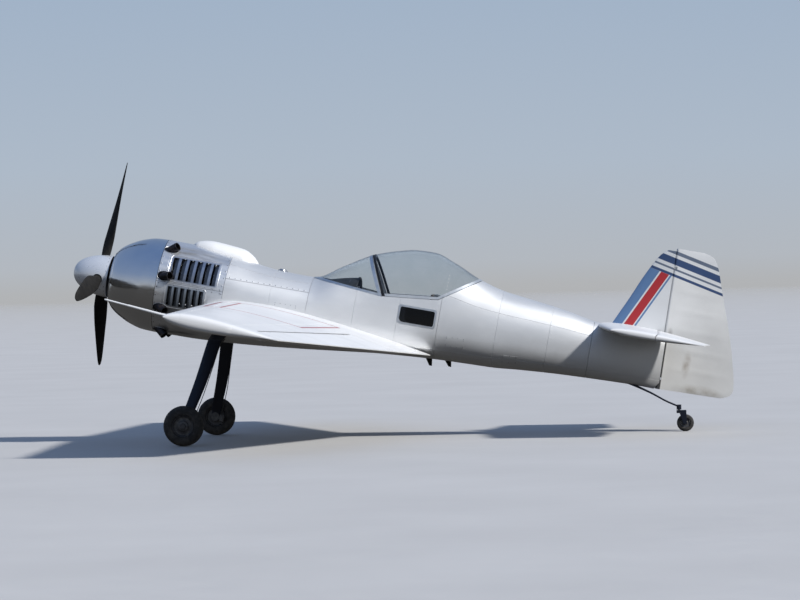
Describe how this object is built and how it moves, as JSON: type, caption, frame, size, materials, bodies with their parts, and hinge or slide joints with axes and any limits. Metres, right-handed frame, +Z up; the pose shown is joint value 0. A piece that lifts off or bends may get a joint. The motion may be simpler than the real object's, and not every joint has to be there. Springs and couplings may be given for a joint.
{
  "type": "single-engine aerobatic monoplane",
  "caption": "Low-wing aerobatic monoplane with a radial engine, bubble canopy and tail wheel, parked on its gear.",
  "frame": {"origin": "on the ground, under the middle of the parked aircraft's box", "axes": "+X aft, +Y starboard along the wing span, +Z up"},
  "size_m": [6.8486, 7.66, 2.9464],
  "materials": {
    "polished_aluminium": "polished",
    "silver_paint": "satin silver",
    "frame_metal": "satin",
    "bare_steel": "brushed",
    "engine_metal": "dark",
    "dark_paint": "gloss dark blue",
    "blade_black": "satin black",
    "tyre_rubber": "matte",
    "glazing": "clear, slightly smoked",
    "cockpit_grey": "matte",
    "seat_leather": "worn"
  },
  "bodies": {
    "airframe": {"cowl_nose_ring": "polished_aluminium", "cowl_upper_panel": "polished_aluminium", "cowl_lower_panel_left": "polished_aluminium", "cowl_lower_panel_right": "polished_aluminium", "radial_engine": "engine_metal", "firewall": "bare_steel", "top_blister": "silver_paint", "forward_deck": "silver_paint", "fuselage_forward": "silver_paint", "fuselage_center": "silver_paint", "rear_fuselage": "silver_paint", "tailcone": "silver_paint", "side_window_left": "glazing", "side_window_right": "glazing", "windscreen_bow": "frame_metal", "windscreen_glass": "glazing", "wing_left": "silver_paint", "wing_right": "silver_paint", "pitot_boom": "bare_steel", "stabiliser_left": "silver_paint", "stabiliser_right": "silver_paint", "fin": "silver_paint", "gear_leg_left": "dark_paint", "gear_leg_right": "dark_paint", "tail_spring": "dark_paint", "cockpit_floor": "cockpit_grey", "instrument_panel": "cockpit_grey", "pilot_seat": "seat_leather", "control_stick": "cockpit_grey", "rudder_pedals": "bare_steel", "throttle_quadrant": "cockpit_grey"},
    "propeller": {"spinner": "polished_aluminium", "propeller_hub": "engine_metal", "propeller_blade_1": "blade_black", "propeller_blade_2": "blade_black", "propeller_blade_3": "blade_black"},
    "canopy": {"canopy_glass": "glazing", "canopy_frame": "frame_metal"},
    "left_aileron": {"aileron_left": "silver_paint"},
    "right_aileron": {"aileron_right": "silver_paint"},
    "elevator": {"elevator_left": "silver_paint", "elevator_right": "silver_paint", "elevator_torque_tube": "bare_steel"},
    "rudder": {"rudder": "silver_paint"},
    "left_wheel": {"main_wheel_left": "bare_steel", "main_tire_left": "tyre_rubber"},
    "right_wheel": {"main_wheel_right": "bare_steel", "main_tire_right": "tyre_rubber"},
    "tail_caster": {"tail_fork": "dark_paint"},
    "tail_roller": {"tail_wheel": "bare_steel", "tail_tire": "tyre_rubber"}
  },
  "joints": [
    {"name": "propeller_spin", "type": "hinge", "parent": "airframe", "child": "propeller", "pos_m": [-3.13973, 0, 1.755], "axis": [0.9813, 0, -0.1925], "continuous": true},
    {"name": "canopy_open", "type": "hinge", "parent": "airframe", "child": "canopy", "pos_m": [-0.1404, 0.391, 1.46005], "axis": [-0.9943, 0.057, 0.0901], "range_deg": [0, 85]},
    {"name": "left_aileron_hinge", "type": "hinge", "parent": "airframe", "child": "left_aileron", "pos_m": [-0.41892, -1.15, 1.01308], "axis": [-0.2355, -0.9707, 0.0486], "range_deg": [-22, 22]},
    {"name": "right_aileron_hinge", "type": "hinge", "parent": "airframe", "child": "right_aileron", "pos_m": [-0.41892, 1.15, 1.01308], "axis": [-0.2355, 0.9707, 0.0486], "range_deg": [-22, 22]},
    {"name": "elevator_hinge", "type": "hinge", "parent": "airframe", "child": "elevator", "pos_m": [2.68423, 0, 0.99148], "axis": [0, -1, 0], "range_deg": [-25, 25]},
    {"name": "rudder_hinge", "type": "hinge", "parent": "airframe", "child": "rudder", "pos_m": [2.65604, 0, 0.44264], "axis": [0.1724, 0, 0.985], "range_deg": [-27, 27]},
    {"name": "left_wheel_spin", "type": "hinge", "parent": "airframe", "child": "left_wheel", "pos_m": [-2.12273, -1.175, 0.205], "axis": [0, 1, 0], "continuous": true},
    {"name": "right_wheel_spin", "type": "hinge", "parent": "airframe", "child": "right_wheel", "pos_m": [-2.12273, 1.175, 0.205], "axis": [0, 1, 0], "continuous": true},
    {"name": "tail_caster_swivel", "type": "hinge", "parent": "airframe", "child": "tail_caster", "pos_m": [2.86727, 0, 0.2], "axis": [0, 0, 1], "range_deg": [-40, 40]},
    {"name": "tail_wheel_spin", "type": "hinge", "parent": "tail_caster", "child": "tail_roller", "pos_m": [2.93027, 0, 0.088], "axis": [0, 1, 0], "continuous": true}
  ],
  "couplings": [
    {"joint": "right_aileron_hinge", "follows": "left_aileron_hinge", "ratio": 1}
  ]
}
